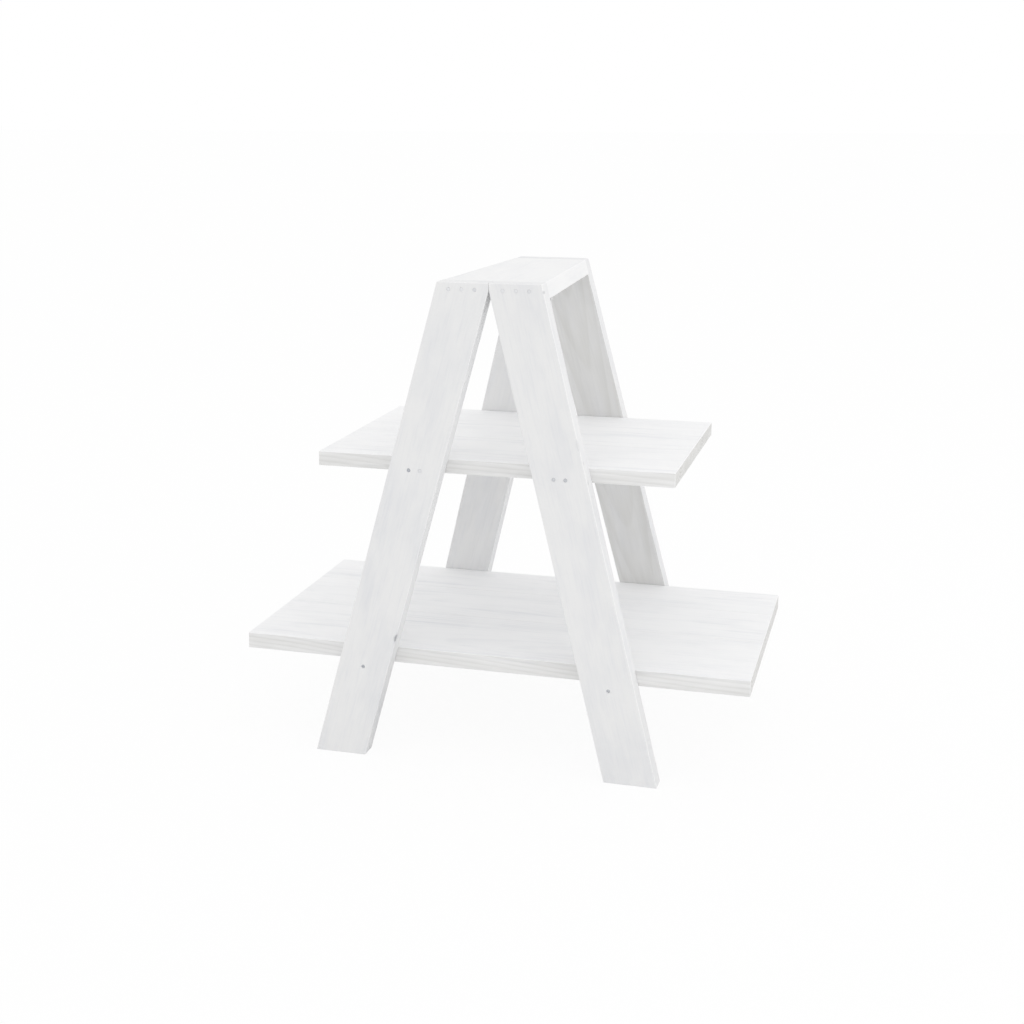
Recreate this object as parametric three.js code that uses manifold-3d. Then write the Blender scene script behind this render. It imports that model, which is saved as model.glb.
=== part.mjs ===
// Plant ladder stand: two pairs of leaning legs, a top board and two shelves, nailed together.
//
// Millimetres, +Z up. The origin is on the floor, at the centre of the stand.
// The front faces -Y, and left is -X as seen from the front.

import * as THREE from 'three';
import { mergeVertices } from 'three/addons/utils/BufferGeometryUtils.js';
import Module from 'manifold-3d';

const wasm = await Module();
wasm.setup();

// ---------------------------------------------------------------- driving dimensions

const standHeight = 500;        // floor to the top board's upper face
const frontSplay = 14.7;        // degrees each front leg leans sideways
const rearSplay = 14.2;
const frameLean = 3.8;          // degrees each pair of legs leans towards the other
const headDepth = 271;          // outside of the front legs to outside of the rear legs, at the top

const legWidth = 53.5;          // of the board, square to its length
const legThickness = 20;
const frontHeadWidth = 107;     // across the heads of the front pair, level
const rearHeadWidth = 80;       // the rear pair stands closer, its heads are trimmed to meet
const headGap = 0.4;            // between the two heads of a pair

const topThickness = 16;

const middleHeight = 319;       // floor to the shelf's upper face
const middleLength = 376;
const middleThickness = 15;
const middleFrontStave = 106;   // width of the front stave in the glued shelf

const bottomHeight = 115;
const bottomLength = 543;
const bottomThickness = 17;
const bottomFrontStave = 115;
const bottomMiddleStave = 93;

const shelfGap = 0.3;           // between a board's end or edge and the leg that it is nailed to
const glueLine = 0.2;           // between two staves of a shelf

const nailLength = 40;
const nailDiameter = 2.2;
const nailHeadDiameter = 4;
const nailHeadThickness = 1;
const nailPoint = 3;            // length of the tapered point
const nailClearance = 0.15;     // all round a nail, in its hole
const topNailDrop = 7;          // from the board's upper face down to the heads in the leg
const middleNailDrop = 9.2;
const bottomNailDrop = 17.6;

// The nails of each board: how many in each leg, how far apart, the height of their heads on the
// leg's outer face, and the rise of each nail as it goes in, in degrees. The top and middle nails
// are square to the leg. The bottom ones start below the shelf and are driven up into its edge.
const topNails = { count: 3, spacing: 13.4, height: standHeight - topNailDrop, rise: -frameLean };
const middleNails = { count: 2, spacing: 12, height: middleHeight - middleNailDrop, rise: -frameLean };
const bottomNails = { count: 1, spacing: 0, height: bottomHeight - bottomNailDrop, rise: 15 };

// ---------------------------------------------------------------- sizes that follow

const leanAngle = THREE.MathUtils.degToRad(frameLean);
const leanSlope = Math.tan(leanAngle);
const legLevelThickness = legThickness / Math.cos(leanAngle);

const FRONT = -1;
const REAR = 1;
const LEFT = -1;
const RIGHT = 1;
const NAIL_SIDES = 12;

const headWidths = { [FRONT]: frontHeadWidth, [REAR]: rearHeadWidth };
const splays = {
  [FRONT]: THREE.MathUtils.degToRad(frontSplay),
  [REAR]: THREE.MathUtils.degToRad(rearSplay),
};
const faceNames = { [FRONT]: 'front', [REAR]: 'rear' };
const sideNames = { [LEFT]: 'left', [RIGHT]: 'right' };

// Distance from the middle plane to the outer face of a pair of legs, at a height.
const outerDepth = (z) => headDepth / 2 + (standHeight - z) * leanSlope;
const innerDepth = (z) => outerDepth(z) - legLevelThickness;

// Distance from the middle plane to the outer edge of a leg, at a height.
const outerReach = (face, z) => (
  headWidths[face] / 2 + (standHeight - z) * Math.tan(splays[face])
);

// The same to its inner edge, which stops short of the middle plane where the heads meet.
const legLevelWidth = (face) => legWidth / Math.cos(splays[face]);
const innerReach = (face, z) => Math.max(outerReach(face, z) - legLevelWidth(face), headGap / 2);

// ---------------------------------------------------------------- materials

const paintedWood = (color) => new THREE.MeshStandardMaterial({ color, roughness: 0.6, metalness: 0 });
const nailSteel = () => new THREE.MeshStandardMaterial({ color: 0xa6a6a4, roughness: 0.45, metalness: 0.6 });

// ---------------------------------------------------------------- solids

// Keeps only the places of a geometry's vertices, each one once.
function plainGeometry(geometry) {
  geometry.deleteAttribute('normal');
  geometry.deleteAttribute('uv');
  return mergeVertices(geometry);
}

// A board with flat faces: cornerAt gives each corner's place from its three signs.
function boardGeometry(cornerAt) {
  const geometry = plainGeometry(new THREE.BoxGeometry(2, 2, 2));
  const places = geometry.attributes.position;
  for (let i = 0; i < places.count; i += 1) {
    places.setXYZ(i, ...cornerAt(places.getX(i), places.getY(i), places.getZ(i)));
  }
  return geometry;
}

// A round body along +Y, from a list of [radius, distance] points that starts and ends on the axis.
function turnedGeometry(profile) {
  const points = profile.map(([radius, distance]) => new THREE.Vector2(radius, distance));
  return plainGeometry(new THREE.LatheGeometry(points, NAIL_SIDES));
}

function toSolid(geometry) {
  return new wasm.Manifold(new wasm.Mesh({
    numProp: 3,
    vertProperties: new Float32Array(geometry.attributes.position.array),
    triVerts: new Uint32Array(geometry.index.array),
  }));
}

function toGeometry(solid) {
  const { vertProperties, triVerts } = solid.getMesh();
  const geometry = new THREE.BufferGeometry();
  geometry.setAttribute('position', new THREE.BufferAttribute(vertProperties, 3));
  geometry.setIndex(new THREE.BufferAttribute(triVerts, 1));
  geometry.computeVertexNormals();
  return geometry;
}

// Cuts every cutter out of a geometry, and leaves the geometry as it is where there is none.
function cutOut(geometry, cutters) {
  const solid = cutters.reduce((left, cutter) => left.subtract(toSolid(cutter)), toSolid(geometry));
  return toGeometry(solid);
}

function addPiece(parent, name, geometry, material) {
  const mesh = new THREE.Mesh(geometry, material);
  mesh.name = name;
  parent.add(mesh);
  return mesh;
}

// ---------------------------------------------------------------- nails

// A nail lies along +Y: its head's upper face is at 0 and its point at nailLength.
const nailGeometry = () => turnedGeometry([
  [0, 0],
  [nailHeadDiameter / 2, 0],
  [nailHeadDiameter / 2, nailHeadThickness],
  [nailDiameter / 2, nailHeadThickness],
  [nailDiameter / 2, nailLength - nailPoint],
  [0, nailLength],
]);

// The hole for a nail, open at the face that the nail is driven into.
const nailHoleGeometry = () => turnedGeometry([
  [0, -2 * nailHeadThickness],
  [nailHeadDiameter / 2 + nailClearance, -2 * nailHeadThickness],
  [nailHeadDiameter / 2 + nailClearance, nailHeadThickness + nailClearance],
  [nailDiameter / 2 + nailClearance, nailHeadThickness + nailClearance],
  [nailDiameter / 2 + nailClearance, nailLength - nailPoint + nailClearance],
  [0, nailLength + nailClearance],
]);

const nailRows = { top: topNails, middle: middleNails, bottom: bottomNails };

// Where every nail is. The rows are centred on the width of the leg. A head that isn't square to
// the face is sunk until its rim no longer stands out.
function nailPlaces() {
  const places = [];
  for (const face of [FRONT, REAR]) {
    for (const side of [LEFT, RIGHT]) {
      for (const [board, { count, spacing, height, rise }] of Object.entries(nailRows)) {
        const riseAngle = THREE.MathUtils.degToRad(rise);
        const inward = new THREE.Vector3(0, -face * Math.cos(riseAngle), Math.sin(riseAngle));
        const turn = new THREE.Quaternion().setFromUnitVectors(new THREE.Vector3(0, 1, 0), inward);
        const sunk = nailHeadDiameter / 2 * Math.sin(riseAngle + leanAngle);
        const legMiddle = (outerReach(face, height) + innerReach(face, height)) / 2;
        for (let i = 0; i < count; i += 1) {
          const x = side * legMiddle + (i - (count - 1) / 2) * spacing;
          const head = new THREE.Vector3(x, face * outerDepth(height), height)
            .addScaledVector(inward, sunk);
          places.push({
            name: `nail_${board}_${faceNames[face]}_${sideNames[side]}_${i + 1}`,
            face,
            side,
            board,
            matrix: new THREE.Matrix4().compose(head, turn, new THREE.Vector3(1, 1, 1)),
          });
        }
      }
    }
  }
  return places;
}

const nails = nailPlaces();

const holesWhere = (test) => nails.filter(test)
  .map((nail) => nailHoleGeometry().applyMatrix4(nail.matrix));

// ---------------------------------------------------------------- legs

// A leg leans both ways and is cut level at its foot and head. Where it would reach past the middle
// of its pair it is trimmed upright, so that the two heads meet.
function legGeometry(face, side) {
  const leg = boardGeometry((outward, faceSign, up) => {
    const z = up > 0 ? standHeight : 0;
    const reach = outerReach(face, z) - (outward * side > 0 ? 0 : legLevelWidth(face));
    const depth = faceSign * face > 0 ? outerDepth(z) : innerDepth(z);
    return [side * reach, face * depth, z];
  });
  const trim = new THREE.BoxGeometry(2 * legWidth, 4 * headDepth, 3 * standHeight)
    .translate(side * (headGap / 2 - legWidth), 0, standHeight);
  const holes = holesWhere((nail) => nail.face === face && nail.side === side);
  return cutOut(leg, [plainGeometry(trim), ...holes]);
}

function makeLegs() {
  const legs = new THREE.Group();
  for (const face of [FRONT, REAR]) {
    for (const side of [LEFT, RIGHT]) {
      const name = `leg_${faceNames[face]}_${sideNames[side]}`;
      addPiece(legs, name, legGeometry(face, side), paintedWood(0xe6e7e8));
    }
  }
  return legs;
}

// ---------------------------------------------------------------- top board

// The top board lies between the heads of the legs. Its sides run on flush from the legs' outer
// edges, so it is wider at the front and its sides slope as the legs do.
function makeTopBoard() {
  const sideReach = (y, z) => {
    const share = (y + headDepth / 2) / headDepth;
    return THREE.MathUtils.lerp(outerReach(FRONT, z), outerReach(REAR, z), share);
  };
  const board = boardGeometry((side, face, up) => {
    const z = standHeight - (up > 0 ? 0 : topThickness);
    const y = face * (innerDepth(z) - shelfGap);
    return [side * sideReach(y, z), y, z];
  });
  const top = new THREE.Group();
  const holes = holesWhere((nail) => nail.board === 'top');
  addPiece(top, 'top_board', cutOut(board, holes), paintedWood(0xf0f0f0));
  return top;
}

// ---------------------------------------------------------------- shelves

// A shelf is glued up from staves. Its front and rear edges are planed to the lean of the legs, and
// the seams between the staves are upright. staveWidths lists the widths from the front edge,
// measured along the upper face, without the rear stave, which takes what is left.
function makeShelf({ name, board, height, length, thickness, staveNames, staveWidths }) {
  const shelf = new THREE.Group();
  const holes = holesWhere((nail) => nail.board === board);
  let seam = shelfGap - innerDepth(height);
  staveNames.forEach((stave, i) => {
    const isFirst = i === 0;
    const isLast = i === staveNames.length - 1;
    const frontSeam = seam + glueLine / 2;
    seam += staveWidths[i] ?? 0;
    const rearSeam = seam - glueLine / 2;
    const geometry = boardGeometry((side, face, up) => {
      const z = height - (up > 0 ? 0 : thickness);
      const edge = innerDepth(z) - shelfGap;
      const frontY = isFirst ? -edge : frontSeam;
      const rearY = isLast ? edge : rearSeam;
      return [side * length / 2, face > 0 ? rearY : frontY, z];
    });
    addPiece(shelf, `${name}_${stave}`, cutOut(geometry, holes), paintedWood(0xebebec));
  });
  return shelf;
}

// ---------------------------------------------------------------- the stand

const stand = new THREE.Group();
stand.name = 'plant_ladder_stand';

stand.add(makeLegs());
stand.add(makeTopBoard());
stand.add(makeShelf({
  name: 'shelf_middle',
  board: 'middle',
  height: middleHeight,
  length: middleLength,
  thickness: middleThickness,
  staveNames: ['front_stave', 'rear_stave'],
  staveWidths: [middleFrontStave],
}));
stand.add(makeShelf({
  name: 'shelf_bottom',
  board: 'bottom',
  height: bottomHeight,
  length: bottomLength,
  thickness: bottomThickness,
  staveNames: ['front_stave', 'middle_stave', 'rear_stave'],
  staveWidths: [bottomFrontStave, bottomMiddleStave],
}));

for (const nail of nails) {
  const mesh = addPiece(stand, nail.name, nailGeometry(), nailSteel());
  mesh.applyMatrix4(nail.matrix);
}

export default stand;
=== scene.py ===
# %% [markdown]
# # A whitewashed plant ladder stand
# The real object is a small stand for potted plants: four leaning legs, a top board and two
# shelves, all of planed pine under a thin white wash, held by plain wire nails. This lesson
# rebuilds it on the frame that the CAD model gives. The frame already knows where every board
# and nail is, so none of them is placed by eye: each piece reads its corners from the frame, and
# adds what a plain solid lacks, such as worn arrises, drilled holes, chips, grain and paint.

# %% Load the frame
import math
import bpy
import bmesh
import numpy as np
from mathutils import Matrix, Vector, noise


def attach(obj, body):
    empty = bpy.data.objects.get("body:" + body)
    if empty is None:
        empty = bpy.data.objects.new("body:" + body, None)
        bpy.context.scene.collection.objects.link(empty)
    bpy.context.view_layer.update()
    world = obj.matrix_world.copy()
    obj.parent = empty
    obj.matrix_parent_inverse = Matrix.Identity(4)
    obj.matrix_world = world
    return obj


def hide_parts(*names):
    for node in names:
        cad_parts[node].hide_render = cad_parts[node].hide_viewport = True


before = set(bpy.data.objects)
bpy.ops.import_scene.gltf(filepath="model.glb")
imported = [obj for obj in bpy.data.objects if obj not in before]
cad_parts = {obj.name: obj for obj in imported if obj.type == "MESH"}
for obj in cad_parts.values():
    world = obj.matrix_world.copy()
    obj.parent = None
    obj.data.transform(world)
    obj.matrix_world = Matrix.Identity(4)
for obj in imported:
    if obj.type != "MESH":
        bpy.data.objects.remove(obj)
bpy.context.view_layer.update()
MM = 0.001

# %% [markdown]
# ## The camera
# A camera can be placed by hand until the picture looks right, but here the edges of the boards in
# the photograph were measured and the camera was solved from them, because a wrong lens bends every
# proportion. It stands 15.3 degrees to the right of the front and looks down by 15.2 degrees, from
# 1.65 m away. Two small offsets put the stand where it lies in the picture's frame.

# %% Camera
TURN, LOOK_DOWN = math.radians(15.29), math.radians(15.18)
DISTANCE = 1.649                                # metres
LENS, SENSOR = 52.481, 36.0                     # millimetres
STAND_MIDDLE = Vector((0, 0, 0.25))
ASIDE, BELOW = -0.0128, -0.0164                 # metres, from the stand's middle to the point looked at


def add_object(name, data):
    made = bpy.data.objects.new(name, data)
    bpy.context.scene.collection.objects.link(made)
    return made


backwards = Vector((
    math.sin(TURN) * math.cos(LOOK_DOWN),
    -math.cos(TURN) * math.cos(LOOK_DOWN),
    math.sin(LOOK_DOWN)))
rightwards = Vector((math.cos(TURN), math.sin(TURN), 0))
upwards = backwards.cross(rightwards)
aim = STAND_MIDDLE + rightwards * ASIDE + upwards * BELOW
camera = add_object("photo_camera", bpy.data.cameras.new("photo_camera"))
camera.data.lens, camera.data.sensor_width = LENS, SENSOR
camera.matrix_world = Matrix((rightwards, upwards, backwards)).transposed().to_4x4()
camera.location = aim + backwards * DISTANCE
bpy.context.scene.camera = camera
print("camera at", [round(v, 3) for v in camera.location])

# %% [markdown]
# ## Writing shader maths as sentences
# A procedural material is a net of small nodes. Wired by hand it soon hides what it computes, so a
# small class wraps the output of a node: adding or multiplying two of them adds the Math node that
# does it, and `1 - mask` works as it reads. Everything that isn't plain arithmetic goes through one
# method, `node`. A wire without a socket is only a place to start a net from.

# %% A wire between shader nodes
class Wire:
    """One output of a node. Arithmetic on it adds Math nodes to the same net."""

    def __init__(self, tree, socket=None):
        self.tree, self.socket = tree, socket

    def node(self, kind, settings=None, inputs=None, output=0):
        """Adds any node: its type, its settings, the values or wires of its inputs, the output to use."""
        made = self.tree.nodes.new(kind)
        for name, value in (settings or {}).items():
            setattr(made, name, value)
        numbered_or_named = lambda sockets: {**dict(enumerate(sockets)), **{s.identifier: s for s in sockets}}
        sockets = numbered_or_named(made.inputs)
        for name, value in (inputs or {}).items():
            if isinstance(value, Wire):
                self.tree.links.new(value.socket, sockets[name])
            else:
                sockets[name].default_value = value
        return Wire(self.tree, numbered_or_named(made.outputs)[output] if made.outputs else None)

    def maths(self, operation, *others):
        """A Math node with this wire first, such as MAXIMUM of it and another."""
        return self.node("ShaderNodeMath", {"operation": operation}, dict(enumerate((self, *others))))

    def maths_after(self, operation, other):
        """A Math node with this wire second, for when a number stands before the operator."""
        return self.node("ShaderNodeMath", {"operation": operation}, {0: other, 1: self})

    def __add__(self, other): return self.maths("ADD", other)
    def __radd__(self, other): return self.maths_after("ADD", other)
    def __sub__(self, other): return self.maths("SUBTRACT", other)
    def __rsub__(self, other): return self.maths_after("SUBTRACT", other)
    def __mul__(self, other): return self.maths("MULTIPLY", other)
    def __rmul__(self, other): return self.maths_after("MULTIPLY", other)
    def __truediv__(self, other): return self.maths("DIVIDE", other)
    def __rtruediv__(self, other): return self.maths_after("DIVIDE", other)
    def __pow__(self, other): return self.maths("POWER", other)
    def __rpow__(self, other): return self.maths_after("POWER", other)


def fresh_material(name):
    """A material with an empty net, and the wire to start the net from."""
    material = bpy.data.materials.new(name)
    material.use_nodes = True
    material.node_tree.nodes.clear()
    return material, Wire(material.node_tree)


print("a wire knows", [name for name in vars(Wire) if name not in ("__module__", "__doc__", "__dict__")])

# %% [markdown]
# ## Floor, backdrop and light
# The photograph shows the stand on plain white. More light could make the floor white, but it would
# burn out the pale paint as well. So the white is only what the camera, mirrors and glass see: the
# Light Path node tells those rays from the ones that carry light to the stand.

# %% Seen directly, in a mirror or through glass
SEEING_RAYS = ("Is Camera Ray", "Is Glossy Ray", "Is Transmission Ray")


def seen(start):
    """1 for rays that look at something, 0 for rays that only carry its light."""
    camera_ray, mirror_ray, glass_ray = (
        start.node("ShaderNodeLightPath", output=ray) for ray in SEEING_RAYS)
    return camera_ray.maths("MAXIMUM", mirror_ray).maths("MAXIMUM", glass_ray)


print("rays that see the plain white:", SEEING_RAYS)

# %% [markdown]
# The floor is one large sheet, far wider than the view, so that no edge of it shows. It is pale
# paper that catches the soft shadow of the stand, mixed with the plain white.

# %% Floor
WHITE = (1, 1, 1, 1)
FLOOR_COLOUR = (0.92, 0.92, 0.915, 1)
FLOOR_WHITE = 0.93                              # the share of plain white, the rest keeps the shadow
FLOOR_HALF = 40                                 # metres

material, start = fresh_material("studio_floor")
paper = start.node("ShaderNodeBsdfDiffuse", inputs={"Color": FLOOR_COLOUR})
plain = start.node("ShaderNodeEmission", inputs={"Color": WHITE, "Strength": 1.0})
mixed = start.node("ShaderNodeMixShader", inputs={0: seen(start) * FLOOR_WHITE, 1: paper, 2: plain})
mixed.node("ShaderNodeOutputMaterial", inputs={"Surface": mixed})

mesh = bpy.data.meshes.new("studio_floor")
sheet = bmesh.new()
bmesh.ops.create_grid(sheet, x_segments=1, y_segments=1, size=FLOOR_HALF)
sheet.to_mesh(mesh)
sheet.free()
mesh.materials.append(material)
floor = add_object("studio_floor", mesh)
print("floor:", 2 * FLOOR_HALF, "m wide")

# %% [markdown]
# The light in the photograph is nearly even, and a bright white world gives that. By itself it
# leaves the faces of a board too much alike, so two weak lamps, at the right and overhead, keep them
# apart. Both are large, because the size of a lamp is what makes its shadows soft.

# %% World and lamps
WORLD_LIGHT = 0.975
LAMPS = {                                       # place, watts, width in metres
    "window_right": ((2.6, -0.9, 1.0), 8, 1.6),
    "ceiling_soft": ((0.3, -0.6, 2.8), 2.5, 2.0),
}

world = bpy.data.worlds.new("studio")
bpy.context.scene.world = world
world.use_nodes = True
world.node_tree.nodes.clear()
start = Wire(world.node_tree)
soft = start.node("ShaderNodeBackground", inputs={"Color": WHITE, "Strength": WORLD_LIGHT})
plain = start.node("ShaderNodeBackground", inputs={"Color": WHITE, "Strength": 1.0})
mixed = start.node("ShaderNodeMixShader", inputs={0: seen(start), 1: soft, 2: plain})
mixed.node("ShaderNodeOutputWorld", inputs={"Surface": mixed})

for name, (place, power, size) in LAMPS.items():
    light = bpy.data.lights.new(name, "AREA")
    light.energy, light.size = power, size
    lamp = add_object(name, light)
    lamp.location = place
    lamp.rotation_mode = "QUATERNION"
    lamp.rotation_quaternion = (STAND_MIDDLE - Vector(place)).to_track_quat("-Z", "Y")
bpy.context.scene.view_settings.view_transform = "Standard"
print("lamps:", list(LAMPS), "and a world of strength", WORLD_LIGHT)

# %% [markdown]
# ## Reading the boards from the frame
# Every board is a slab with a level face at its lowest and highest point. Its eight corners are the
# extreme points of those two levels, so they are read from the packed mesh instead of being typed
# again: if the CAD model changes, the boards follow.

# %% The corners of a board
LEVEL_TOLERANCE = 0.01 * MM


def points_of(node):
    """The places of a node's vertices, one row each."""
    return np.array([v.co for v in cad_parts[node].data.vertices]).reshape(-1, 3)


def corners(node):
    """The eight corners, by side: (left or right, front or rear, bottom or top), each -1 or 1."""
    points, found = points_of(node), {}
    for up in (-1, 1):
        level = points[:, 2].max() if up > 0 else points[:, 2].min()
        ring = points[abs(points[:, 2] - level) < LEVEL_TOLERANCE]
        for right in (-1, 1):
            for rear in (-1, 1):
                found[right, rear, up] = ring[(ring @ (right, rear, 0)).argmax()]
    return found


print("top board's front right upper corner:", corners("top_board")[1, -1, 1].round(4))

# %% [markdown]
# The legs of a pair were trimmed where their heads meet at the middle, after they were planed. So a
# leg is first built whole, as if untrimmed: its inner corner at the head lies as far from the outer
# one as at the foot. The saw cut comes later, as it did on the bench.

# %% A leg before it is trimmed
def whole_leg(node, side):
    found = corners(node)
    for rear in (-1, 1):
        width = found[-side, rear, -1] - found[side, rear, -1]
        found[-side, rear, 1] = found[side, rear, 1] + width
    return found


trial = whole_leg("leg_rear_left", -1)
foot = (trial[1, 1, -1] - trial[-1, 1, -1])[0]
print("a rear leg is", round(foot / MM, 1), "mm wide on the floor")

# %% [markdown]
# ## Lines, arrises and chips of a slab
# A board's sharp edge is called an arris. It was planed and then rubbed round, and it is what
# catches the light, so it needs points where a flat face needs none. A subdivided cube would spread
# its points evenly. Here a slab is laid out as a closed grid instead: its lines stand 4 mm apart on
# the faces, and crowd together at the arrises and round each nail and chip. The grid is in the
# board's own measures: along the grain, across it, and through the thickness, from the middle.

# %% Where the grid lines go
FACE_STEP = 4.0 * MM
ARRIS_RADIUS = 0.8 * MM
ARRIS_LINES = (0.0, 0.18, 0.42, 0.70, 1.0, 1.35)        # parts of the arris radius, from the edge
ARRIS_BORDER = 1.5                              # arris radii that the lines of a face keep clear of
MARK_LINES = 9                                  # lines through a nail or chip
MARK_BORDER = 1.05                              # the other lines keep a little clear of them


def grid_lines(half, marks):
    """Places of the lines between -half and half. Each mark is its middle and its reach."""
    steps = max(2, round(2 * half / FACE_STEP))
    inner = half - ARRIS_BORDER * ARRIS_RADIUS
    lines = [v for v in np.linspace(-half, half, steps + 1)[1:-1] if abs(v) < inner]
    for side in (-1, 1):
        lines += [side * (half - part * ARRIS_RADIUS) for part in ARRIS_LINES]
    for middle, reach in marks:
        lines = [v for v in lines if abs(v - middle) > reach * MARK_BORDER or abs(v) > inner]
        lines += [v for v in np.linspace(middle - reach, middle + reach, MARK_LINES) if abs(v) < inner]
    return sorted(lines)


print("lines across a 54 mm leg with one nail:", len(grid_lines(27 * MM, [(0, 4 * MM)])))

# %% [markdown]
# The surface of the box is then covered with quads. Points are numbered when they are first met, so
# that two faces share the points of their common edge and the mesh has no gap.

# %% The closed grid
QUAD_CORNERS = ((0, 0), (1, 0), (1, 1), (0, 1))


def closed_grid(lines):
    """Points and quads of a box surface with lines at these places on its three axes."""
    counts = [len(axis) for axis in lines]
    number, points, quads = {}, [], []

    def point(*where):
        if where not in number:
            number[where] = len(points)
            points.append([lines[axis][index] for axis, index in enumerate(where)])
        return number[where]

    for axis in range(3):
        u, v = (axis + 1) % 3, (axis + 2) % 3
        for end in (0, counts[axis] - 1):
            for i in range(counts[u] - 1):
                for j in range(counts[v] - 1):
                    ring = []
                    for di, dj in QUAD_CORNERS:
                        where = [0, 0, 0]
                        where[axis], where[u], where[v] = end, i + di, j + dj
                        ring.append(point(*where))
                    quads.append(ring if end else ring[::-1])
    return np.array(points), quads


trial = closed_grid([(-1, 0, 1)] * 3)
print("a box with 3 lines each way has", len(trial[0]), "points and", len(trial[1]), "quads")

# %% [markdown]
# An arris is rounded by pulling the square corner of each cross-section onto a circle. A bevel
# modifier would give every edge the same radius. Here it wanders a little along the board, as it
# does when sandpaper takes the edge off by hand, and a glued seam between two staves keeps an
# almost sharp edge, because the staves were planed flush after gluing.

# %% Rounding an arris
RUB_AMOUNT = 0.45                               # how much the radius wanders, as a part of it
RUB_SIZE = 18 * MM                              # how far apart its swells lie
RUB_STRETCH = (1, 0.2, 0.2)
SEED_SHIFT = (3.1, 1.7, 0.9)                    # moves each board to its own part of the noise
TINY = 1e-9


def wander(points, size, seed):
    """A smooth random number from -1 to 1 at each point, the same in every run."""
    shift = Vector([seed * part for part in SEED_SHIFT])
    return np.array([noise.noise(Vector(p) / size + shift) for p in points])


def round_arrises(points, half, radii, seed):
    """radii has (negative side, positive side) for each axis. Of two faces that meet, the smaller holds."""
    points = points.copy()
    rub = 1 + RUB_AMOUNT * wander(points * RUB_STRETCH, RUB_SIZE, seed)
    for i, j in ((1, 2), (0, 2), (0, 1)):
        radius = np.minimum(
            np.where(points[:, i] > 0, radii[i][1], radii[i][0]),
            np.where(points[:, j] > 0, radii[j][1], radii[j][0])) * rub
        u = np.abs(points[:, i]) - (half[i] - radius)
        v = np.abs(points[:, j]) - (half[j] - radius)
        corner = (u > 0) & (v > 0)
        k = np.where(corner, np.maximum(u, v) / np.maximum(np.hypot(u, v), TINY), 1)
        for axis, over in ((i, u), (j, v)):
            pulled = np.sign(points[:, axis]) * (half[axis] - radius + over * k)
            points[:, axis] = np.where(corner, pulled, points[:, axis])
    return points


print("a 0.8 mm arris wanders by up to", round(RUB_AMOUNT * ARRIS_RADIUS / MM, 2), "mm either way")

# %% [markdown]
# A chip is a shallow hollow. Sculpting it would leave nothing to read in the script, so each one has
# a place and a reach on the board, and pushes the points near it inwards by up to its depth.

# %% Pressing a chip
def press(points, chips):
    points = points.copy()
    for place, reach, push, _strength in chips:
        away = (((points - place) / reach) ** 2).sum(1)
        soft = np.clip(1 - away, 0, 1) ** 2
        points += soft[:, None] * np.array(push)
    return points


trial = press(np.zeros((1, 3)), [((0, 0, 0), (1, 1, 1), (0, 0, -0.5), 1)])
print("a chip pushes its middle by", trial[0])

# %% [markdown]
# ## From the board's own measures into the stand
# The boards could be rotated into place, but a leg leans both ways and its ends are cut level, so it
# isn't a rotated box. Instead, the eight corners bend the grid into place and the points between
# them are blended. A leg gets its lean and splay, and the top board its taper, without any angle.

# %% A board from its corners
AXIS = {"x": 0, "y": 1, "z": 2}


class Slab:
    """A board between eight corners; order names the world axis that each of its own axes follows."""

    def __init__(self, found, order):
        axes = [AXIS[letter] for letter in order]
        self.found = {tuple(key[axis] for axis in axes): Vector(p) for key, p in found.items()}
        self.middle = sum(self.found.values(), Vector()) / 8
        spans = [self.face_middle(axis, 1) - self.face_middle(axis, -1) for axis in range(3)]
        self.half = np.array([span.length / 2 for span in spans])
        self.edges = np.array([span.normalized() for span in spans]).T
        self.along = spans[0].normalized()
        self.across = (spans[1] - self.along * spans[1].dot(self.along)).normalized()
        self.through = self.along.cross(self.across)

    def face_middle(self, axis, side):
        return sum((p for key, p in self.found.items() if key[axis] == side), Vector()) / 4

    def place(self, points):
        """Moves points from the slab's own measures into the stand."""
        part = points / self.half
        result = np.zeros_like(points)
        for key, corner in self.found.items():
            weight = np.prod((1 + part * key) / 2, axis=1)
            result += weight[:, None] * np.array(corner)
        return result

    def turned_back(self, vectors):
        """Directions of the stand as the board has them: along, across and through."""
        return np.asarray(vectors) @ np.array([self.along, self.across, self.through]).T

    def own(self, points):
        """Where points of the stand lie on the board, in metres from its middle."""
        return self.turned_back(np.asarray(points) - np.array(self.middle))

    def measures(self, points):
        """The other way round from place(), near enough for a nail or a chip on a skewed board."""
        return np.linalg.solve(self.edges, (np.asarray(points) - np.array(self.middle)).T).T


print("a slab knows", [name for name in vars(Slab) if not name.startswith("_")])

# %% [markdown]
# ## Where the nails are
# The frame gives each nail as a plain twelve-sided body. Its tip is the one point nearest to the
# middle of the stand, because every nail is driven inwards, and its head is the ring that lies
# furthest from the tip. Two points are all that the holes and the detailed nails need.

# %% Where each nail lies
HEAD_RADIUS, HEAD_THICK = 2.0 * MM, 1.0 * MM
WIRE_RADIUS, POINT_LENGTH = 1.1 * MM, 3.0 * MM
RIM_TOLERANCE = 0.1 * MM
SAME_PLACE = 7                                  # decimals of a metre


def nail_line(node):
    """The middle of the head's upper face, and the tip."""
    points = np.unique(points_of(node).round(SAME_PLACE), axis=0)
    tip = points[abs(points[:, 1]).argmin()]
    reach = np.linalg.norm(points - tip, axis=1)
    head = points[reach > reach.max() - RIM_TOLERANCE].mean(0)
    return Vector(head), Vector(tip)


NAILS = {name: nail_line(name) for name in sorted(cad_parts) if name.startswith("nail_")}
lengths = [(tip - head).length / MM for head, tip in NAILS.values()]
print("nails:", len(NAILS), "from", round(min(lengths), 1), "to", round(max(lengths), 1), "mm long")

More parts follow.
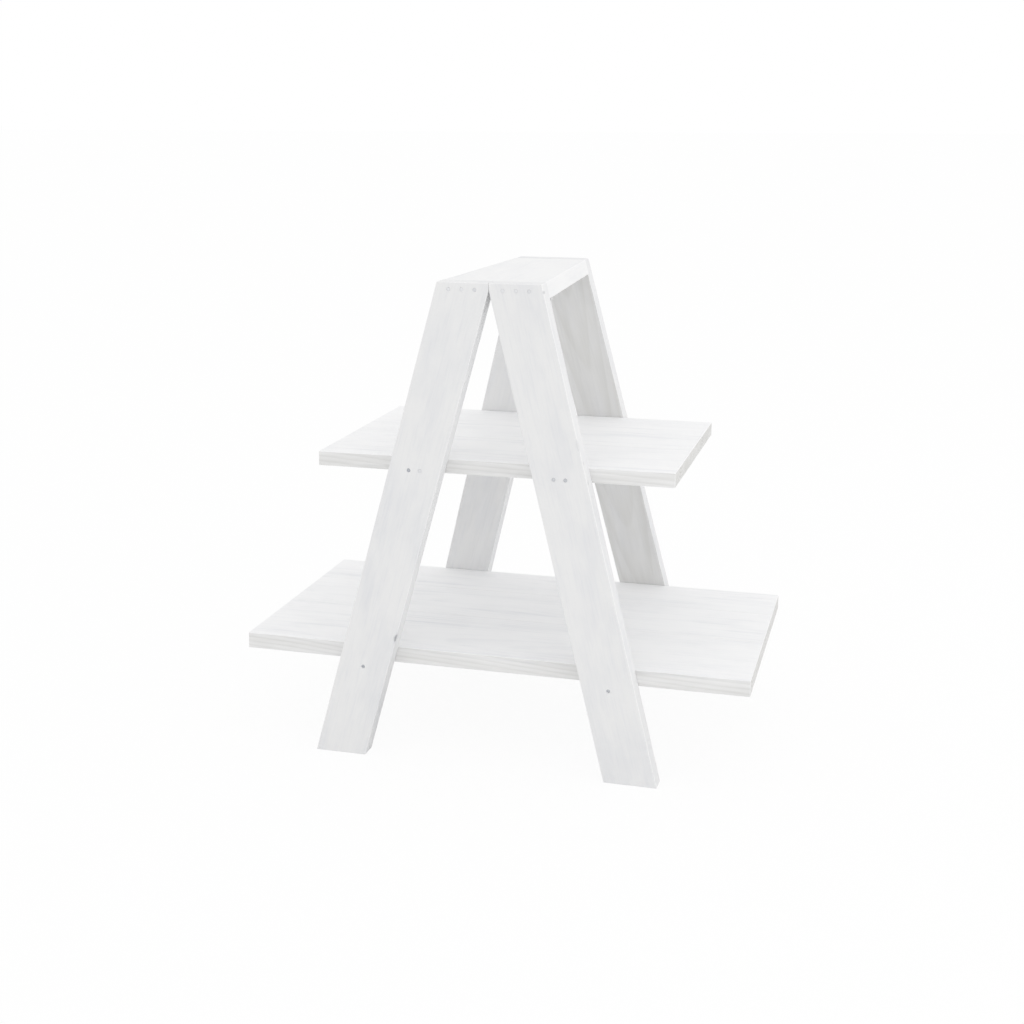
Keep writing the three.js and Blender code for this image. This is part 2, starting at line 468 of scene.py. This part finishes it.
# %% [markdown]
# Nails and drill holes are both round bodies on a line that leans. A turned body is made as on a
# lathe: a profile of radii and distances goes round the line, and each radius becomes a ring of
# points. Where the profile touches the line, the ring is one point. A function may reshape a ring,
# for what isn't round, such as the facets of a nail's point.

# %% Turning a profile round a line
RING_SIDES = 32


def round_ring(radius, _depth, _angle):
    return radius, 0


def turned(name, start, end, profile, shape=round_ring):
    """A closed body from (radius, distance from start) pairs; shape gives a point's radius and shift."""
    axis = (end - start).normalized()
    side = axis.orthogonal().normalized()
    other = axis.cross(side)
    body = bmesh.new()
    rings = []
    for radius, depth in profile:
        middle = start + axis * depth
        if radius < TINY:
            rings.append([body.verts.new(middle)])
            continue
        ring = []
        for k in range(RING_SIDES):
            angle = 2 * math.pi * k / RING_SIDES
            r, d = shape(radius, depth, angle)
            spoke = side * math.cos(angle) + other * math.sin(angle)
            ring.append(body.verts.new(middle + axis * d + spoke * r))
        rings.append(ring)
    for low, high in zip(rings, rings[1:]):
        for k in range(RING_SIDES):
            n = (k + 1) % RING_SIDES
            if len(low) == 1:
                body.faces.new((low[0], high[n], high[k]))
            elif len(high) == 1:
                body.faces.new((low[k], low[n], high[0]))
            else:
                body.faces.new((low[k], low[n], high[n], high[k]))
    bmesh.ops.recalc_face_normals(body, faces=body.faces)
    mesh = bpy.data.meshes.new(name)
    body.to_mesh(mesh)
    body.free()
    return add_object(name, mesh)


print("a ring has", RING_SIDES, "points")

# %% [markdown]
# ## The whitewash
# This is thin white paint on pine. The summer and winter growth of the tree shows through as faint
# lines, the brush leaves long streaks, and the paint is thinner on the end grain, which drinks it. An
# image of wood would have to be laid on each face, and would break at the edges. Here the grain is
# computed in three dimensions from the place on the board, so faces, edges and ends agree.
#
# The mesh carries that place and a few masks as attributes, and these helpers read and shape them.

# %% Reading what the mesh carries
def carried(start, name, output="Fac"):
    return start.node("ShaderNodeAttribute", {"attribute_name": name}, output=output)


def ramp(value, low, high, to_low=0.0, to_high=1.0):
    """A smooth step from to_low to to_high as value goes from low to high."""
    return value.node("ShaderNodeMapRange", {"interpolation_type": "SMOOTHSTEP"},
                      {0: value, 1: low, 2: high, 3: to_low, 4: to_high})


def stretched_noise(spot, stretch, detail, rough):
    """Noise whose pattern repeats stretch times a metre along, across and through the board."""
    scaled = spot.node("ShaderNodeVectorMath", {"operation": "MULTIPLY"}, {0: spot, 1: stretch})
    return spot.node("ShaderNodeTexNoise", {"noise_dimensions": "3D"},
                     {"Vector": scaled, "Scale": 1.0, "Detail": detail, "Roughness": rough})


def mix(factor, a, b):
    """Colour a where factor is 0, b where it is 1."""
    return factor.node("ShaderNodeMix", {"data_type": "RGBA"},
                       {"Factor_Float": factor, "A_Color": a, "B_Color": b}, "Result_Color")


print("helpers of the net:", carried.__name__, ramp.__name__, stretched_noise.__name__, mix.__name__)

# %% [markdown]
# A board is sawn from a log whose rings are circles round its heart, so the rings are computed as
# the distance from a line beside the board, one ring for each year. Straight stripes would be
# simpler, but only circles give the arched lines that pine shows on an end and long curves on a
# face. The line is a little askew and wobbles, and its place differs from board to board.

# %% Growth rings
YEAR = 0.0042                                   # metres of growth in a year
GOLDEN = 0.618                                  # spreads the boards evenly over the log
HEART_ACROSS, HEART_THROUGH, HEART_DEEPER = 0.05, 0.028, 0.03
SKEW_ACROSS, SKEW_THROUGH = 0.012, 0.045
WOBBLE_ACROSS, WOBBLE_THROUGH = 0.006, 0.010
WINTER_GROWS, WINTER_ENDS = (0.35, 0.86), (0.90, 1.0)   # parts of a year


def growth_rings(place, number, wobble):
    """0 in pale summer wood to 1 in dark winter wood."""
    along, across, through = (
        place.node("ShaderNodeSeparateXYZ", inputs={0: place}, output=axis) for axis in range(3))
    heart = (number * GOLDEN).maths("FRACT")
    y = across + along * SKEW_ACROSS + (heart - 0.5) * HEART_ACROSS + wobble * WOBBLE_ACROSS
    z = (through + along * SKEW_THROUGH - HEART_THROUGH - heart * HEART_DEEPER
         + wobble * WOBBLE_THROUGH)
    distance = (y * y + z * z) ** 0.5
    year = (distance / YEAR).maths("FRACT")
    return ramp(year, *WINTER_GROWS) * ramp(year, *WINTER_ENDS, 1.0, 0.0)


print("rings in a 54 mm leg, at most:", round(54 * MM / YEAR))

# %% [markdown]
# The wash itself is built up as a painter would see it: where is the coat thin, which grain lines
# show there, and where does bare wood look through. Each layer of noise is long along the board and
# narrow across it, because both the grain and the brush run that way. The mixes go in this order:
# paint, then soaked and unpainted wood, where the wood tone on thinly coated faces is partly painted
# shade, then a painted highlight on the arrises, and last the chips.

# %% Layers of the wash
LAYERS = {                          # repeats a metre along, across and through; detail; roughness
    "wobble": ((3, 10, 10), 2.0, 0.5),          # how the growth rings drift
    "patches": ((13, 34, 34), 4.0, 0.62),       # where the coat is thin
    "lines": ((2.4, 150, 150), 4.0, 0.62),      # long lines of the grain
    "streaks": ((24, 420, 420), 3.0, 0.6),      # short streaks
    "fibres": ((30, 1500, 1500), 2.0, 0.5),     # single fibres, only felt
    "brush": ((5, 160, 160), 4.0, 0.55),        # furrows of the bristles
    "mottle": ((300, 130, 130), 4.0, 0.65),     # spots on end grain and chips
    "soft_patch": ((7, 45, 110), 3.0, 0.6),     # cloudy patches on thinly painted edges
}
BOARD_SHIFT = (1.37, 0.71, 0.43)                # moves each board to its own part of the noise
# painted highlight: the arrises are lightened in colour where they would catch the light
ARRIS_PAINTED_HIGHLIGHT = (0.93, 0.93, 0.93, 1)
CHIP_DARK = (0.34, 0.35, 0.37, 1)
MATT, BUMP_STRENGTH, BUMP_HEIGHT, SHEEN_LEVEL = 0.52, 0.35, 0.00018, 0.35


def coat_shows(layer, rings, cloud, line, ring):
    """How much of the wood's tone shows through the paint, from clouds, grain lines and rings."""
    thin = ramp(layer["patches"], 0.38, 0.68)
    shows = thin * cloud + ramp(layer["lines"], 0.52, 0.72) * (thin * 0.7 + 0.3) * line
    shows = shows + ramp(layer["streaks"], 0.45, 0.75) * cloud * 0.8 + rings * (thin * 0.8 + 0.2) * ring
    return shows.maths("MINIMUM", 1.0)


def bare_wood_and_shade(layer, rings, end, bare):
    """How much bare wood shows, on the end grain that soaked up the paint and on thinly painted faces, where
    the wood tone is partly painted shade.
    """
    cloudy = ramp(layer["soft_patch"], 0.3, 0.7)
    soaked = end * (ramp(layer["mottle"], 0.32, 0.72) * 0.12 + rings * 0.22 + cloudy * 0.20 + 0.46)
    # on thinly coated faces this wood tone is partly painted shade
    unpainted_and_shade = bare * (cloudy * 0.5 + rings * 0.3 + ramp(layer["streaks"], 0.35, 0.7) * 0.1 + 0.5)
    return soaked.maths("MAXIMUM", unpainted_and_shade)


print("layers of noise:", len(LAYERS))

# %% [markdown]
# The material then only reads the attributes, shifts the noise so that no two boards are alike, and
# mixes. The paint's relief is far too fine to model, so it goes into a bump, which tilts the light
# on the surface and leaves the mesh alone. Rougher where streaks and end grain are, a little
# smoother on the rubbed arrises.

# %% Whitewash material
def whitewash(name, paint, shadow_tint, wood, cloud, line, ring):
    material, start = fresh_material(name)
    place = carried(start, "board_place", "Vector")
    number = carried(start, "board_number")
    end, arris, chip = (carried(start, mask) for mask in ("end_grain", "arris", "chip"))
    apart = place.node("ShaderNodeCombineXYZ", inputs={
        axis: number * shift for axis, shift in enumerate(BOARD_SHIFT)})
    spot = place.node("ShaderNodeVectorMath", {"operation": "ADD"}, {0: place, 1: apart})
    layer = {title: stretched_noise(spot, *recipe) for title, recipe in LAYERS.items()}
    rings = growth_rings(place, number, layer["wobble"] - 0.5)

    colour = mix(coat_shows(layer, rings, cloud, line, ring), paint, shadow_tint)
    # wood tone of end grain, and of thin coats, where it is partly painted shade
    colour = mix(bare_wood_and_shade(layer, rings, end, carried(start, "thin_coat_and_painted_shade")), colour, wood)
    # painted highlight along the rounded arrises
    colour = mix(arris * 0.6, colour, ARRIS_PAINTED_HIGHLIGHT)
    colour = mix(chip * (ramp(layer["mottle"], 0.2, 0.6) * 0.4 + 0.6), colour, CHIP_DARK)

    roughness = MATT + layer["streaks"] * 0.16 + end * 0.12 - arris * 0.06
    height = rings * 0.35 + layer["fibres"] * 0.45 + layer["brush"] * 0.5 + end * layer["mottle"] * 0.4
    bump = height.node("ShaderNodeBump", inputs={
        "Strength": BUMP_STRENGTH, "Distance": BUMP_HEIGHT, "Height": height})
    shader = place.node("ShaderNodeBsdfPrincipled", inputs={
        "Base Color": colour, "Roughness": roughness, "Normal": bump, "Specular IOR Level": SHEEN_LEVEL})
    shader.node("ShaderNodeOutputMaterial", inputs={"Surface": shader})
    print(name, "has", len(start.tree.nodes), "nodes")
    return material


# %% [markdown]
# In the photograph the legs are greyest, with soft clouds. The top board and the shelves are
# lighter, and the shelves have the clearest grain lines. The shelves' paint is written lighter than
# the top's, because they get less light where the boards above them shade them. So the three share
# one recipe and differ in three colours and three strengths.

# %% The three washes
WASHES = {                          # paint, its tint where thin, wood; strength of clouds, lines, rings
    "leg": ((0.822, 0.822, 0.823, 1), (0.69, 0.70, 0.735, 1), (0.62, 0.615, 0.595, 1), 0.30, 0.05, 0.05),
    "top": ((0.88, 0.88, 0.88, 1), (0.74, 0.75, 0.78, 1), (0.68, 0.67, 0.64, 1), 0.16, 0.24, 0.05),
    "shelf": ((0.925, 0.925, 0.928, 1), (0.68, 0.695, 0.73, 1), (0.60, 0.595, 0.575, 1), 0.08, 0.36, 0.14),
}
PAINT = {f"{kind}_paint": whitewash(f"{kind}_whitewash", *recipe) for kind, recipe in WASHES.items()}
print("slots painted:", list(PAINT))

# %% [markdown]
# ## Building a board
# The steps are those of the bench, in order: lay out the grid, round the arrises, press the chips,
# put the board in place, trim it, drill it for its nails, and last note on it what the paint reads.
#
# Drilling is a boolean cut. The cutter is a turned body a little wider than the nail, and its mouth
# flares by a hair, as wood does round a nail that was struck home.

# %% Drilling
CLEARANCE = 0.04 * MM
CUTTER_OUT = 2 * MM                             # how far the cutter stands out of the wood
FLARE = 1.6                                     # clearances, at the mouth
FLARE_START, FLARE_END = -0.01 * MM, 0.25 * MM
UNDER_HEAD = 0.3 * MM                           # length of the step from the head's hole to the wire's
CUTTER_TIP = 0.4 * MM


def drill_body(name, head, tip):
    """What the drill and the nail's head take out of the wood."""
    length = (tip - head).length + CLEARANCE
    mouth, hole = HEAD_RADIUS + CLEARANCE * FLARE, HEAD_RADIUS + CLEARANCE
    wire, floor_of_head = WIRE_RADIUS + CLEARANCE, HEAD_THICK + CLEARANCE
    profile = [(0, -CUTTER_OUT), (mouth, -CUTTER_OUT), (mouth, FLARE_START),
               (hole, FLARE_END), (hole, floor_of_head),
               (wire, floor_of_head + UNDER_HEAD), (wire, length - POINT_LENGTH),
               (CUTTER_TIP, length), (0, length)]
    return turned(name, head, tip, profile)


def apply_modifiers(piece):
    graph = bpy.context.evaluated_depsgraph_get()
    baked = bpy.data.meshes.new_from_object(piece.evaluated_get(graph), depsgraph=graph)
    piece.modifiers.clear()
    old, piece.data = piece.data, baked
    bpy.data.meshes.remove(old)


def drill(piece, nails):
    cutters = [drill_body(f"drill_{name}", *NAILS[name]) for name in nails]
    for cutter in cutters:
        cut = piece.modifiers.new(cutter.name, "BOOLEAN")
        cut.operation, cut.solver, cut.object = "DIFFERENCE", "EXACT", cutter
    apply_modifiers(piece)
    for cutter in cutters:
        bpy.data.meshes.remove(cutter.data)


print("a nail has", round(CLEARANCE / MM, 2), "mm of air round it")

# %% [markdown]
# The saw cut that trims a leg is a plane that halves the mesh. A boolean with a box would do it too,
# but a plane leaves one clean face and can't graze the head beside it.

# %% Sawing
def saw(mesh, point, normal):
    """Cuts off what lies on the normal's side of the plane and closes the cut."""
    body = bmesh.new()
    body.from_mesh(mesh)
    parts = [*body.verts, *body.edges, *body.faces]
    cut = bmesh.ops.bisect_plane(body, geom=parts, plane_co=point, plane_no=normal, clear_outer=True)
    rim = [part for part in cut["geom_cut"] if isinstance(part, bmesh.types.BMEdge)]
    bmesh.ops.contextual_create(body, geom=rim)
    bmesh.ops.recalc_face_normals(body, faces=body.faces)
    body.to_mesh(mesh)
    body.free()


HEAD_GAP = 0.2 * MM
print("the saw stops", round(HEAD_GAP / MM, 2), "mm short of the middle on each side")

# %% [markdown]
# The photograph shows where this stand was knocked: a scuff on the right front leg above the middle
# shelf with two nicks under it, a nick at the leg's head, a dark nick on the left front leg above
# the bottom shelf, and small chips at the ends of the middle shelf. Random wear would be quicker,
# but these marks are part of this stand. Each is given by its place in the stand in metres, its
# reach along, across and through the board and its push in millimetres, and how dark it is.

# %% Chips and scuffs
CHIPS = {
    "leg_front_right": [
        ((0.0942, -0.1458, 0.3445), (6.0, 2.2, 2.0), (0, -0.45, 0.45), 0.22),
        ((0.1040, -0.1449, 0.3075), (1.8, 1.5, 2.0), (0, -0.15, 0), 0.40),
        ((0.0989, -0.1422, 0.3268), (2.2, 1.5, 1.6), (0, -0.15, 0), 0.30),
        ((0.0555, -0.1340, 0.4924), (1.8, 1.5, 2.6), (0, -0.2, 0), 0.50)],
    "leg_front_left": [((-0.0948, -0.1600, 0.1318), (4.5, 2.0, 2.0), (0, -0.7, 0.5), 0.95)],
    "shelf_middle_front_stave": [
        ((-0.1880, -0.1013, 0.3190), (1.6, 2.4, 1.6), (0.5, 0, -0.5), 0.35),
        ((-0.1880, -0.0663, 0.3190), (1.4, 1.8, 1.4), (0.45, 0, -0.45), 0.30)],
    "shelf_middle_rear_stave": [((0.1880, 0.0577, 0.3142), (1.5, 4.5, 3.0), (-0.1, 0, 0), 0.30)],
}
print("chips:", sum(len(chips) for chips in CHIPS.values()), "on", list(CHIPS))

# %% [markdown]
# The wash needs to know where it is. The place on the board, an end, an arris or a chip could be
# guessed inside the material from the shape, but the mesh knows them exactly, so they are written to
# its points as attributes. A thin coat is a direction in which the brush hardly reached, such as
# the inner faces of the legs, and how much wood shows there. That wood tone is also painted shade:
# it darkens faces that get less light.

# %% What the paint reads
END_FROM, END_OVER = 0.55, 0.3                  # how squarely a face lies across the grain
HEAD_UPWARD = 0.5                               # the legs' heads look as painted as the top beside them
ARRIS_FROM, ARRIS_OVER = 0.96, 0.15             # how far a face is turned from all three axes
COAT_FROM, COAT_OVER = 0.75, 0.2                # how squarely a face looks in the thin direction
CHIP_EDGE = 1.4                                 # the dark of a chip runs a little past its hollow


def read(mesh, field):
    """A vector that each point of a mesh has, such as its place or normal, one row each."""
    values = np.zeros(len(mesh.vertices) * 3)
    mesh.vertices.foreach_get(field, values)
    return values.reshape(-1, 3)


def give(mesh, name, values):
    """Writes a number or a vector for each point, which a material reads by its name."""
    values = np.asarray(values, np.float32)
    kind, slot = ("FLOAT_VECTOR", "vector") if values.ndim == 2 else ("FLOAT", "value")
    mesh.attributes.new(name, kind, "POINT").data.foreach_set(slot, values.ravel())


def dress(mesh, slab, number, chips, thin):
    """Writes the place on the board, its number, and where ends, arrises, chips and thin coats with painted
    shade are.
    """
    points, normals = read(mesh, "co"), read(mesh, "normal")
    facing = np.abs(slab.turned_back(normals))
    ends = np.clip((facing[:, 0] - END_FROM) / END_OVER, 0, 1)
    coat, dark = np.zeros(len(points)), np.zeros(len(points))
    # the thin coat's wood tone, partly painted shade on faces that get less light
    for direction, amount in thin:
        squarely = normals @ np.array(direction)
        coat = np.maximum(coat, np.clip((squarely - COAT_FROM) / COAT_OVER, 0, 1) * amount)
    spots = slab.measures(points)
    for place, reach, _push, strength in chips:
        away = (((spots - place) / reach) ** 2).sum(1)
        dark = np.maximum(dark, np.clip(CHIP_EDGE - away, 0, 1) * strength)
    give(mesh, "board_place", slab.own(points))
    give(mesh, "board_number", np.full(len(points), number))
    give(mesh, "end_grain", np.where(normals[:, 2] > HEAD_UPWARD, 0, ends))
    give(mesh, "arris", np.clip((ARRIS_FROM - facing.max(axis=1)) / ARRIS_OVER, 0, 1))
    give(mesh, "thin_coat_and_painted_shade", coat)
    give(mesh, "chip", dark)


print("an arris is a face turned more than", round(math.degrees(math.acos(ARRIS_FROM))), "degrees")

# %% [markdown]
# Now the bench's steps in one function. The board replaces its solid in the frame, rides on the one
# body that the stand has, and wears the whitewash of its finish.

# %% One board
NAIL_REACH = 3.2 * MM                           # round a nail, where the grid lines crowd
BOARD_CREASE = math.radians(38)                 # sharper edges than this aren't shaded smooth


def board(node, order, found, number, paint, nails, seams=(ARRIS_RADIUS, ARRIS_RADIUS), trim=None, thin=()):
    slab = Slab(found, order)
    chips = [(slab.measures([where])[0], np.array(reach) * MM, np.array(push) * MM, strength)
             for where, reach, push, strength in CHIPS.get(node, ())]
    heads = [slab.measures([NAILS[name][0]])[0] for name in nails]
    marks = [[(spot[axis], NAIL_REACH) for spot in heads]
             + [(place[axis], reach[axis]) for place, reach, *_ in chips] for axis in (0, 1)]
    points, quads = closed_grid([grid_lines(*line) for line in zip(slab.half, [*marks, []])])
    both = (ARRIS_RADIUS, ARRIS_RADIUS)
    points = press(round_arrises(points, slab.half, [both, seams, both], number), chips)
    mesh = bpy.data.meshes.new(node + "_board")
    mesh.from_pydata(slab.place(points).tolist(), [], quads)
    piece = add_object(node + "_board", mesh)
    if trim:
        saw(mesh, *trim)
    drill(piece, nails)
    piece.data.shade_smooth()
    piece.data.set_sharp_from_angle(angle=BOARD_CREASE)
    dress(piece.data, slab, number, chips, thin)
    piece.data.materials.clear()
    piece.data.materials.append(PAINT[paint])
    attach(piece, "root")
    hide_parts(node)
    print(piece.name, len(piece.data.polygons), "faces,", [round(2 * v / MM, 1) for v in slab.half], "mm")


print("grid lines crowd within", round(NAIL_REACH / MM, 1), "mm of a nail")

# %% [markdown]
# The four legs are the same board, leaning two ways. Their heads are trimmed upright to meet at the
# middle. In the photograph the inner face of the right rear leg looks more thinly painted than that
# of the left one. The darker wood tone given to the inner faces is partly that thinner coat and
# partly painted shade, as these faces lie in the shade of the stand. The front legs' inner faces are
# hidden, and are taken to be like the rear ones.

# %% The four legs
LEGS = (("front", "left"), ("front", "right"), ("rear", "left"), ("rear", "right"))
# wood tone on the legs' inner faces: a thinner coat plus painted shade
THIN_INSIDE_AND_SHADE = {"left": 0.16, "right": 0.54}
for number, (face, side) in enumerate(LEGS, 1):
    node = f"leg_{face}_{side}"
    sign = -1 if side == "left" else 1
    inward = (0, 1 if face == "front" else -1, 0)
    board(node, "zxy", whole_leg(node, sign), number, "leg_paint",
          [name for name in NAILS if f"_{face}_{side}_" in name],
          trim=((sign * HEAD_GAP, 0, 0), (-sign, 0, 0)), thin=[(inward, THIN_INSIDE_AND_SHADE[side])])

# %% [markdown]
# The top board lies between the heads of the legs and its grain runs from front to rear. Its sides
# slope on from the legs' outer edges, which its eight corners give by themselves.

# %% The top board
TOP_NUMBER = len(LEGS) + 1
board("top_board", "yxz", corners("top_board"), TOP_NUMBER, "top_paint",
      [name for name in NAILS if "_top_" in name])

# %% [markdown]
# The shelves are glued up from staves, as wide shelves are, because a single wide board would cup.
# Each stave is a board of its own, with its own grain, so the seam shows as it does in the
# photograph: a fine line where the grain changes. The front and rear edges were painted thinly, and
# their grey wood tone also holds painted shade that keeps them darker than the tops.

# %% The shelves
SEAM = 0.25 * MM                                # arris radius at a glued seam
ARRISES = {"front": (ARRIS_RADIUS, SEAM), "middle": (SEAM, SEAM), "rear": (SEAM, ARRIS_RADIUS)}
STAVES = (("middle", "front"), ("middle", "rear"),
          ("bottom", "front"), ("bottom", "middle"), ("bottom", "rear"))
# grey wood tone on the front and rear edges: a thin coat plus painted shade
THIN_EDGE_AND_SHADE = 0.46
for number, (shelf, stave) in enumerate(STAVES, TOP_NUMBER + 1):
    node = f"shelf_{shelf}_{stave}_stave"
    board(node, "xyz", corners(node), number, "shelf_paint",
          [name for name in NAILS if f"nail_{shelf}_{stave}_" in name],
          seams=ARRISES[stave], thin=[((0, -1, 0), THIN_EDGE_AND_SHADE), ((0, 1, 0), THIN_EDGE_AND_SHADE)])

# %% [markdown]
# ## The nails
# The nails are steel, and the whitewash went over them too. On some heads the paint stayed, on
# others it was rubbed away and leaves a dark, bluish disc. Two materials would need a hard line
# between them, so one material goes from paint to steel by how bare the head is, in blotches.

# %% Painted steel
NAIL_PAINT = (0.80, 0.805, 0.82, 1)
STEEL, STEEL_RUSTED = (0.33, 0.355, 0.40, 1), (0.27, 0.255, 0.25, 1)
BLOTCHES, RUST_SPOTS = ((700,) * 3, 3.0, 0.6), ((1600,) * 3, 2.0, 0.5)
STEEL_BUMP_STRENGTH, STEEL_BUMP_HEIGHT = 0.5, 0.0001


def nail_steel():
    material, start = fresh_material("nail_steel_worn")
    spot = carried(start, "nail_place", "Vector")
    blotch, rust = stretched_noise(spot, *BLOTCHES), stretched_noise(spot, *RUST_SPOTS)
    worn = carried(start, "bare") * ramp(blotch, 0.3, 0.6, 0.7, 1.0)
    steel = mix(ramp(rust, 0.5, 0.7) * 0.3, STEEL, STEEL_RUSTED)
    height = blotch + worn * -0.5
    bump = height.node("ShaderNodeBump", inputs={
        "Strength": STEEL_BUMP_STRENGTH, "Distance": STEEL_BUMP_HEIGHT, "Height": height})
    shader = spot.node("ShaderNodeBsdfPrincipled", inputs={
        "Base Color": mix(worn, NAIL_PAINT, steel), "Roughness": 0.62 - worn * 0.18 + rust * 0.1,
        "Metallic": worn * 0.2, "Normal": bump})
    shader.node("ShaderNodeOutputMaterial", inputs={"Surface": shader})
    print("nail steel has", len(start.tree.nodes), "nodes")
    return material


NAIL_STEEL = nail_steel()

# %% [markdown]
# The photograph shows only the round heads of the nails. A common wire nail has a slightly domed
# head, a short cone under it, grip rings pressed into the wire, and a point cut with four facets.
# The frame's nail is whole, and so is this one. Every head has small hammer marks of its own.

# %% One nail
HEAD_PROFILE = ((0, 0.05), (0.5, 0.07), (0.82, 0.13), (0.96, 0.24),     # parts of the head's radius,
                (1, 0.42), (1, 0.8), (0.93, 1.0))                       # millimetres from its top
NECK_LENGTH, NECK_WIDTH = 0.5 * MM, 1.15        # the cone under the head, in wire radii
GRIP_RINGS, GRIP_STEP, GRIP_WAIST = 4, 0.9, 0.93
GRIP_IN, GRIP_OUT = 0.2 * MM, 0.45 * MM         # where a ring is narrowest, and where it ends
POINT_PROFILE = ((0.62, 1.4), (0.2, 0.25))      # wire radii, millimetres before the tip
FACET_DEPTH, FACET_LIMIT = 0.85, 0.72
HAMMERED_RIM, HAMMER_MARK = 0.2 * MM, 0.06 * MM
HAMMER_SEED = 1.3
NAIL_CREASE = math.radians(50)


def nail_profile(length):
    profile = [(part * HEAD_RADIUS, depth * MM) for part, depth in HEAD_PROFILE]
    neck = HEAD_THICK + NECK_LENGTH
    profile.append((WIRE_RADIUS * NECK_WIDTH, neck))
    for k in range(GRIP_RINGS):
        ring = neck + (GRIP_STEP + GRIP_STEP * k) * MM
        profile += [(WIRE_RADIUS, ring), (WIRE_RADIUS * GRIP_WAIST, ring + GRIP_IN),
                    (WIRE_RADIUS, ring + GRIP_OUT)]
    profile.append((WIRE_RADIUS, length - POINT_LENGTH))
    profile += [(WIRE_RADIUS * part, length - before * MM) for part, before in POINT_PROFILE]
    return [*profile, (0, length)]


def nail(node, head, tip, bare, seed):
    length = (tip - head).length
    quarter = math.pi / 2

    def shape(radius, depth, angle):
        if depth > length - POINT_LENGTH + 0.01 * MM:         # four facets of the cut point
            turn = (angle + quarter / 2) % quarter - quarter / 2
            return radius * FACET_DEPTH / max(math.cos(turn), FACET_LIMIT), 0
        if depth < HAMMERED_RIM:                              # hammer marks on the head
            spot = Vector((math.cos(angle), math.sin(angle), seed * HAMMER_SEED)) * radius / MM
            return radius, HAMMER_MARK * (1 + noise.noise(spot))
        return radius, 0

    piece = turned(node + "_steel", head, tip, nail_profile(length), shape)
    piece.data.shade_smooth()
    piece.data.set_sharp_from_angle(angle=NAIL_CREASE)
    points = read(piece.data, "co")
    give(piece.data, "nail_place", points - np.array(head) + seed * 0.01)
    give(piece.data, "bare", np.full(len(points), bare))
    piece.data.materials.append(NAIL_STEEL)
    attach(piece, "root")
    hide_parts(node)


print("a nail's profile has", len(nail_profile(40 * MM)), "points")

# %% [markdown]
# How bare a head is was judged from the photograph for eight heads of the front legs. The other
# four at the top are painted over. The rear heads are hidden: those of the top are taken to be
# painted over too, and the rest get a middling value.

# %% Turning the nails
BARE = {"middle_front_left_1": 0.80, "middle_front_left_2": 0.15, "middle_front_right_1": 0.42,
        "middle_front_right_2": 0.56, "bottom_front_left_1": 0.80, "bottom_front_right_1": 0.58,
        "top_front_left_3": 0.24, "top_front_right_3": 0.18}
BARE_TOP, BARE_HIDDEN = 0.06, 0.5
for seed, (node, (head, tip)) in enumerate(NAILS.items()):
    short = node.removeprefix("nail_")
    nail(node, head, tip, BARE.get(short, BARE_TOP if "top" in short else BARE_HIDDEN), seed)
print("nails turned:", len(NAILS))

# %% [markdown]
# ## Sizes
# The dressed stand must fill the same box as the frame, because it stands for the same object.
